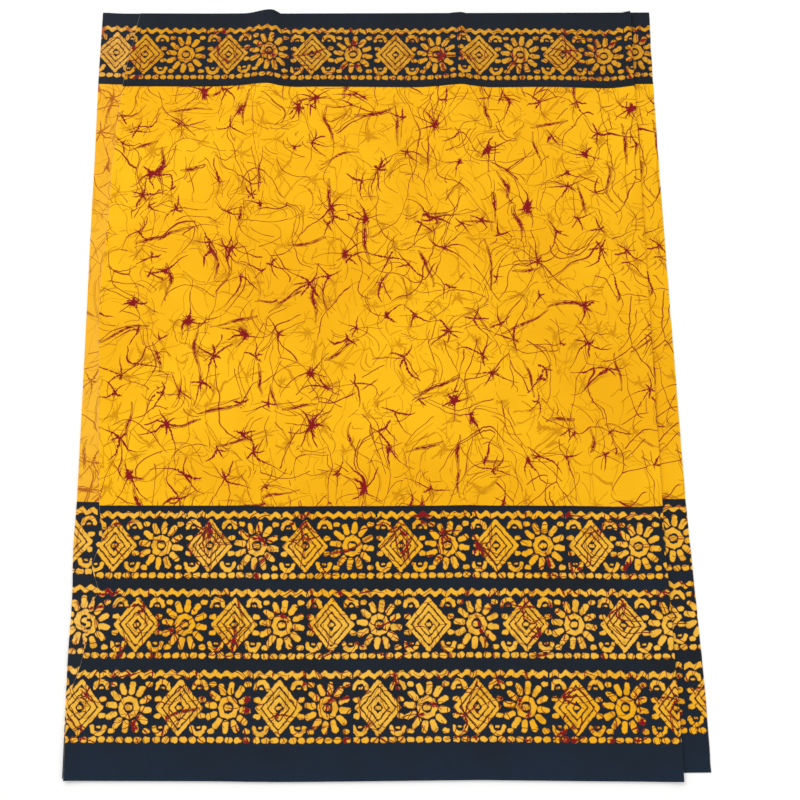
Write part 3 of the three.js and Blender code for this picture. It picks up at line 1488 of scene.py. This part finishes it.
@dataclass(frozen=True)
class Crackle:
    """The dyed crackle: dark red lines and knots over a fainter ochre net."""

    red_layers: tuple[CrackleLayer, ...] = (
        Bursts(cell=98, half_width=0.42, seed=1.0, rays=7, reach=90, knot=7.5, thick_share=0.3),
        Bursts(cell=71, half_width=0.36, seed=6.0, rays=5, reach=74, knot=4.6, thick_share=0.3),
        Bars(cell=84, half_width=2.8, seed=23.0),
        Arcs(cell=230, half_width=0.4, seed=4.0, upright=0.75, extent=0.2),
        Arcs(cell=170, half_width=0.38, seed=8.0, upright=0.7, extent=0.21),
        Arcs(cell=124, half_width=0.36, seed=11.0, upright=0.85, extent=0.21),
        Arcs(cell=92, half_width=0.34, seed=13.0, upright=1.2, extent=0.2),
        Threads(cell=88, half_width=0.38, keep=0.56, stretch=0.5, seed=3.0),
    )
    stain_layers: tuple[CrackleLayer, ...] = (
        Bursts(cell=92, half_width=0.5, seed=1.0, rays=7, reach=90, knot=9.0, thick_share=0.3),
        Bars(cell=84, half_width=3.6, seed=23.0),
        Arcs(cell=84, half_width=0.42, seed=8.0, upright=0.7, extent=0.3),
        Arcs(cell=60, half_width=0.36, seed=27.0, upright=0.8, extent=0.26),
        Arcs(cell=46, half_width=0.34, seed=29.0, upright=1.1, extent=0.2),
        Bursts(cell=64, half_width=0.4, seed=31.0, rays=6, reach=52, knot=3.6, thick_share=0.2),
    )
    ochre_layers: tuple[CrackleLayer, ...] = (
        Bursts(cell=58, half_width=0.5, seed=12.0, rays=8, reach=44, knot=5.5),
        Arcs(cell=110, half_width=0.45, seed=14.0, upright=0.7, extent=0.18),
        Arcs(cell=78, half_width=0.4, seed=16.0, upright=1.1, extent=0.18),
        Threads(cell=42, half_width=0.45, keep=0.55, stretch=0.5, seed=15.0),
    )

    def bent(self, paint: Paint, place: Value) -> Value:
        """The place, pushed about so that no crackle line runs true."""
        swept = paint.warp(place, 84.0, 22.0, 1.0)
        return paint.warp(swept, 12.0, 1.3, 2.0)

    def mask(self, paint: Paint, place: Value, layers: Sequence[CrackleLayer]) -> Value:
        """Where any of the layers has a line.

        Args:
            paint: The material's nodes.
            place: The place along and across the cloth.
            layers: The kinds of crackle to lay together.

        Returns:
            The mask.
        """
        bent = self.bent(paint, place)
        result = layers[0].mask(paint, bent)
        for layer in layers[1:]:
            result = paint.math("MAXIMUM", result, layer.mask(paint, bent))
        return result

    def layered(
        self, name: str, paint: Paint, place: Value, layers: Sequence[CrackleLayer]
    ) -> Value:
        """A mask that is worked out in its own group of nodes.

        Args:
            name: The group's name.
            paint: The material's nodes.
            place: The place along and across the cloth.
            layers: The kinds of crackle to lay together.

        Returns:
            The mask.
        """
        return paint.grouped(name, place, lambda inner, spot: self.mask(inner, spot, layers))

    def red(self, paint: Paint, place: Value) -> Value:
        """Where the dark red lines and knots are."""
        return self.layered("red_crackle", paint, place, self.red_layers)

    def stains(self, paint: Paint, place: Value) -> Value:
        """Where the red marks the panels."""
        return self.layered("red_stains", paint, place, self.stain_layers)

    def ochre(self, paint: Paint, place: Value) -> Value:
        """Where the faint ochre lines are."""
        return self.layered("ochre_crackle", paint, place, self.ochre_layers)


@dataclass(frozen=True)
class CottonFinish:
    """The printed cotton's finish for one side and one patch of the print."""

    side: ClothSide
    patch: Patch
    crackle: Crackle = Crackle()
    panel: Panel = Panel()
    yarn_pitch: float = 0.52
    weave_depth: float = 0.05
    fray_width: float = 0.35
    fray_strength: float = 0.25

    @property
    def inks(self) -> Inks:
        """The colours of this side."""
        return RIGHT_INKS if self.side is ClothSide.RIGHT else WRONG_INKS

    def yellow(self, paint: Paint, place: Value, plain: Colour) -> Value:
        """The yellow ground with its slow changes and fine yarn streaks.

        Args:
            paint: The material's nodes.
            place: The place along and across the cloth.
            plain: The yellow where it is lightest.

        Returns:
            The colour.
        """
        inks = self.inks
        patchy = paint.ramp(paint.noise(place, 210.0, 3.0, 21.0), 0.35, 0.65)
        streaks = paint.vector("MULTIPLY", place, (0.03, 1.0, 0.0))
        slub = paint.noise(streaks, 1.6, 1.0, 23.0)
        return paint.mix(patchy * 0.75 + slub * 0.25, plain, inks.deep_yellow)

    def field_colour(self, paint: Paint, place: Value, across: Value) -> Value:
        """The crackled yellow field, with the dark line that frames it.

        Args:
            paint: The material's nodes.
            place: The place along and across the cloth.
            across: The place's part across the cloth.

        Returns:
            The colour.
        """
        inks = self.inks
        ground = self.yellow(paint, place, inks.yellow)
        ground = paint.mix(self.crackle.ochre(paint, place) * inks.crackle_strength, ground, inks.ochre)
        ground = paint.mix(self.crackle.red(paint, place) * inks.crackle_strength, ground, inks.red)
        middle = (PrintLayout.field_top + PrintLayout.field_bottom) / 2
        half = (PrintLayout.field_top - PrintLayout.field_bottom) / 2
        wobble = (paint.noise(place, 5.0, 1.0, 31.0) - 0.5) * 0.8
        outside = paint.math("ABSOLUTE", across - middle) + wobble - half
        ground = paint.mix(paint.ramp(outside, -0.5, 0.2), ground, inks.fringe)
        return paint.mix(paint.ramp(outside, 0.0, 0.7), ground, inks.black_navy)

    def margin_colour(self, paint: Paint, place: Value, across: Value) -> Value:
        """The plain dark ground of the border.

        Args:
            paint: The material's nodes.
            place: The place along and across the cloth.
            across: The place's part across the cloth.

        Returns:
            The colour.
        """
        inks = self.inks
        depth = paint.ramp(paint.noise(place, 90.0, 2.0, 41.0), 0.3, 0.7)
        toward_field = paint.ramp(across, -600.0, -500.0)
        return paint.mix(depth * 0.3 + toward_field * 0.6, inks.navy, inks.black_navy)

    def panel_colour(self, paint: Paint, place: Value, across: Value) -> Value:
        """The dark ground with the panel's yellow figures, stained by the crackle.

        Args:
            paint: The material's nodes.
            place: The place along and across the cloth.
            across: The place's part across the cloth.

        Returns:
            The colour.
        """
        inks = self.inks
        distance = self.panel.distance(paint, place, self.patch)
        ground = self.yellow(paint, place, inks.panel_yellow)
        smudged = paint.ramp(paint.noise(place, 16.0, 3.0, 43.0), 0.5, 0.75)
        dulled = smudged * 0.5 + paint.ramp(across, 400.0, 470.0) * 0.6
        ground = paint.mix(dulled, ground, inks.dull)
        stains = self.crackle.stains(paint, place) * inks.crackle_strength
        ground = paint.mix(stains, ground, inks.red)
        ragged = distance + (paint.noise(place, 3.4, 2.0, 45.0) - 0.5) * 1.4
        ground = paint.mix(paint.ramp(ragged, -0.9, 0.1), ground, inks.fringe)
        outside = paint.ramp(ragged, 0.05, 0.5)
        return paint.mix(outside, ground, self.margin_colour(paint, place, across))

    def weave_bump(self, paint: Paint, along: Value, across: Value) -> Value:
        """The plain weave's surface, as a bumped normal.

        Args:
            paint: The material's nodes.
            along: The place along the cloth.
            across: The place across it.

        Returns:
            The normal.
        """
        turn = math.pi / self.yarn_pitch
        over = paint.math("SINE", along * turn) * paint.math("SINE", across * turn)
        sockets = {"Strength": 0.35, "Distance": self.weave_depth * MM, "Height": over}
        return paint.node("ShaderNodeBump", {}, sockets, "Normal")

    def material(self) -> bpy.types.Material:
        """Makes the finish's material."""
        return new_material(f"cotton_{self.patch.name}_{self.side.value}_side", self.inputs)

    def inputs(self, paint: Paint) -> Inputs:
        """Builds what goes into the surface shader.

        Args:
            paint: The material's nodes, which read only the cloth's own print map and cut distance.

        Returns:
            The shader's inputs.
        """
        mapped = paint.node("ShaderNodeUVMap", {"uv_map": PRINT_MAP}, {}, "UV")
        place = paint.vector("MULTIPLY", mapped, (1 / MM, 1 / MM, 0.0))
        along, across, _ = paint.parts(place)
        colour_of = {
            Zone.FIELD: self.field_colour,
            Zone.MARGIN: self.margin_colour,
            Zone.PANEL: self.panel_colour,
        }
        colour = colour_of[self.patch.zone](paint, place, across)
        from_cut = paint.node("ShaderNodeAttribute", {"attribute_name": CUT_DISTANCE}, {}, "Fac")
        ragged = (paint.noise(place, 2.2, 2.0, 51.0) - 0.5) * 1.6
        frayed = paint.ramp(from_cut + ragged, self.fray_width + 0.3, self.fray_width - 0.3)
        colour = paint.mix(frayed * self.fray_strength, colour, self.inks.thread)
        roughness = 0.74 + paint.noise(place, 18.0, 2.0, 61.0) * 0.16
        return {
            "Base Color": colour,
            "Roughness": roughness,
            "Normal": self.weave_bump(paint, along, across),
            "Specular IOR Level": 0.12,
            "Sheen Weight": 0.03,
            "Sheen Roughness": 0.5,
        }


class FinishSet:
    """The cotton's finishes, one for each side and patch."""

    def __init__(self) -> None:
        """Makes the finishes."""
        self.materials = {
            (side, patch): CottonFinish(side, patch).material()
            for side in ClothSide
            for patch in PrintLayout.patches()
        }

    def slots(self, outward: ClothSide) -> list[bpy.types.Material]:
        """The materials of a stretch: its outward side's patches, then its other side's.

        Args:
            outward: The side that faces outward.

        Returns:
            The materials, in slot order.
        """
        sides = (outward, outward.reverse)
        return [self.materials[side, patch] for side in sides for patch in PrintLayout.patches()]


# ---------------------------------------------------------------------------------------------
# The studio
# ---------------------------------------------------------------------------------------------


@dataclass(frozen=True)
class SoftLight:
    """A square area light that points at the cloth's middle."""

    name: str
    place: tuple[float, float, float]
    size: float
    watts: float

    def build(self) -> None:
        """Adds the light."""
        light = bpy.data.lights.new(self.name, "AREA")
        light.shape = "SQUARE"
        light.size = self.size
        light.energy = self.watts
        lamp = bpy.data.objects.new(self.name, light)
        lamp.location = self.place
        lamp.rotation_euler = (-Vector(self.place)).to_track_quat("-Z", "Y").to_euler()
        bpy.context.scene.collection.objects.link(lamp)


@dataclass(frozen=True)
class Studio:
    """The pale floor, the soft light and the camera."""

    floor_size: float = 9.0
    floor_colour: Colour = srgb(250, 250, 249)
    surround: float = 0.8
    camera_place: tuple[float, float, float] = (0.0347, -0.5279, 1.5838)
    camera_tilt: float = math.radians(16.29)
    camera_lens: float = 50.0
    lights: tuple[SoftLight, ...] = (
        SoftLight("window_light", (-1.6, 1.3, 2.4), 1.8, 34.0),
        SoftLight("fill_light", (1.8, -1.2, 2.2), 2.2, 12.0),
    )

    def build(self) -> bpy.types.Object:
        """Sets up the studio.

        Returns:
            The floor.
        """
        scene = bpy.context.scene
        world = bpy.data.worlds.new("studio_surround")
        world.use_nodes = True
        world.node_tree.nodes["Background"].inputs["Color"].default_value = (1.0, 1.0, 1.0, 1.0)
        world.node_tree.nodes["Background"].inputs["Strength"].default_value = self.surround
        scene.world = world
        scene.view_settings.view_transform = "Standard"
        for light in self.lights:
            light.build()
        lens = bpy.data.cameras.new("camera")
        lens.lens = self.camera_lens
        camera = bpy.data.objects.new("camera", lens)
        camera.location = self.camera_place
        camera.rotation_euler = (self.camera_tilt, 0.0, 0.0)
        scene.collection.objects.link(camera)
        scene.camera = camera
        return self.floor()

    def floor(self) -> bpy.types.Object:
        """The plain pale floor that the cloth lies on.

        Returns:
            The floor.
        """
        bpy.ops.object.select_all(action="DESELECT")
        bpy.ops.mesh.primitive_plane_add(size=self.floor_size)
        floor = bpy.context.active_object
        floor.name = "studio_floor"
        pale = {"Base Color": self.floor_colour, "Roughness": 0.9, "Specular IOR Level": 0.1}
        floor.data.materials.append(new_material("pale_floor", lambda paint: pale))
        return floor


def main() -> None:
    """Builds the studio and the cloth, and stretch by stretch."""
    logging.basicConfig(level=logging.INFO, format="%(name)s: %(message)s")
    floor = Studio().build()
    LOG.info("studio set up")
    finishes = FinishSet()
    LOG.info("cotton finishes made: %d", len(finishes.materials))
    stack = FoldedStack()
    stretches = (
        BottomStretch(
            stack, "cloth_bottom_stretch", "stretch_bottom", "print_lower_layer", ClothSide.RIGHT,
            BOTTOM_SELVAGES, columns=90, row_step=12.0, print_shift=-2.0, print_start=-51.2,
        ),
        MiddleStretch(
            stack, "cloth_middle_stretch", "stretch_middle", "print_wrong_side", ClothSide.WRONG,
            MIDDLE_SELVAGES, columns=100, row_step=12.0, print_shift=-3.5, print_start=825.0,
        ),
        TopStretch(
            stack, "cloth_top_stretch", "stretch_top", "print_right_side", ClothSide.RIGHT,
            TOP_SELVAGES, columns=160, row_step=6.0,
        ),
    )
    below = floor
    for stretch in stretches:
        piece = stretch.build(finishes)
        stretch.declare(piece, [below])
        faces = len(piece.data.polygons)
        LOG.info("%s: %d faces, %.3f m of cloth", piece.name, faces, stretch.flat_length())
        below = piece


if __name__ == "__main__":
    main()
